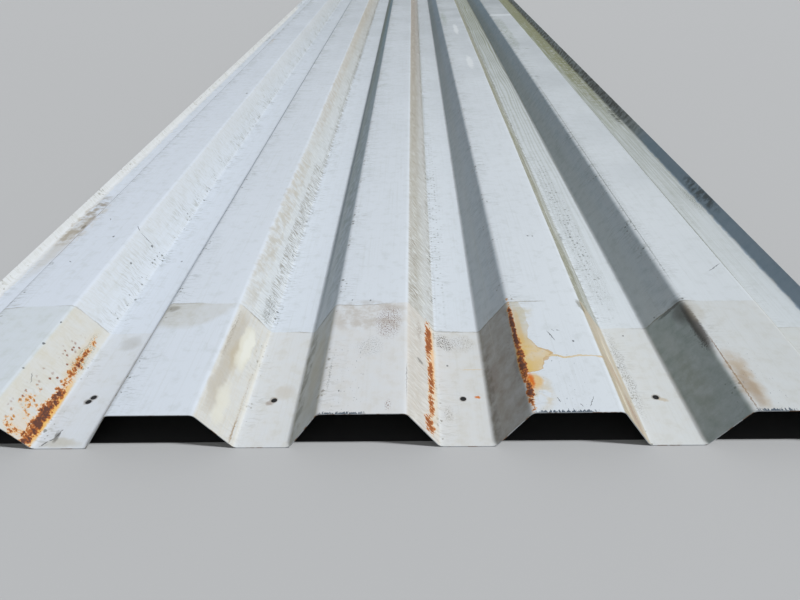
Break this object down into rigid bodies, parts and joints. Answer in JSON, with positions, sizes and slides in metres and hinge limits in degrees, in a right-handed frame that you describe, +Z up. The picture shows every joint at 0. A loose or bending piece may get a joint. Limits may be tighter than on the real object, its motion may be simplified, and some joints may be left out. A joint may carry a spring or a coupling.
{
  "type": "corrugated metal sheet",
  "caption": "Trapezoidal ribbed cladding sheet of white coated steel, with upturned side lips and screw holes in its valleys at both ends.",
  "frame": {"origin": "on the floor under the middle of the centre rib, halfway along the sheet, which is the centre of the screw hole pattern", "axes": "+Y along the ribs, away from the end with the stray hole; +Z up, out of the weather side; +X across the ribs, towards the side with the taller lip"},
  "size_m": [0.9794, 3, 0.0408],
  "materials": {
    "coil_coated_steel": "chalky white coil coating on galvanised steel, water stained, with rust along some bends"
  },
  "bodies": {
    "root": {"corrugated_sheet": "coil_coated_steel"}
  },
  "joints": []
}
